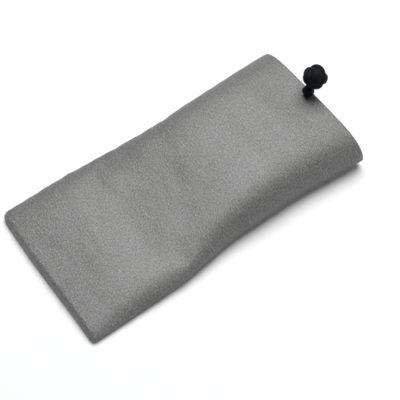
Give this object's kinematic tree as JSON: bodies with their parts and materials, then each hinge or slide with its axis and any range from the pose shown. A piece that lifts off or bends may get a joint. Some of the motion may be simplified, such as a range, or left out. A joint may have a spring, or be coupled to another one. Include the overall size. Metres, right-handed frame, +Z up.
{
  "type": "soft pouch glasses case",
  "caption": "Soft padded fabric pouch for glasses, lying on its back, open at one end, with a cord knot button on the front's mouth edge and a sewn-in lining.",
  "frame": {"origin": "on the resting surface, at the middle of the back panel", "axes": "+Z up from the surface the pouch lies on, +Y from the closed end to the mouth, +X to the right with the mouth pointing away"},
  "size_m": [0.09, 0.184, 0.0477],
  "materials": {
    "dupioni": "slubbed silk-look weave, silver grey, soft sheen",
    "wadding": "thin needled wadding, off-white",
    "lining": "plain brushed lining cloth, charcoal",
    "cord": "satin cord, near black",
    "dark_thread": "sewing thread, black",
    "grey_thread": "sewing thread, grey"
  },
  "bodies": {
    "back_wall": {"outer_back": "dupioni", "wadding_back": "wadding", "lining_back": "lining", "seam_stitches_left": "grey_thread", "seam_stitches_right": "grey_thread", "seam_stitches_end": "grey_thread", "mouth_stitches_back": "grey_thread"},
    "front_wall": {"outer_front": "dupioni", "wadding_front": "wadding", "lining_front": "lining", "mouth_stitches_front": "grey_thread", "button_stem": "cord", "button_tack_thread": "dark_thread"},
    "neck_knot": {"button_neck_knot": "cord"},
    "ball_knot": {"button_ball_knot": "cord"}
  },
  "joints": [
    {"name": "mouth_open", "type": "hinge", "parent": "back_wall", "child": "front_wall", "pos_m": [0, -0.092, 0.0026], "axis": [1, 0, 0], "range_deg": [0, 3.5]},
    {"name": "button_tip", "type": "hinge", "parent": "front_wall", "child": "neck_knot", "pos_m": [0.0016, 0.08192, 0.031], "axis": [-1, 0, 0], "range_deg": [-45, 45], "stiffness_Nm_per_rad": 0.0008},
    {"name": "button_lean", "type": "hinge", "parent": "neck_knot", "child": "ball_knot", "pos_m": [0.0016, 0.08192, 0.031], "axis": [0, 1, 0], "range_deg": [-45, 45], "stiffness_Nm_per_rad": 0.0008}
  ]
}
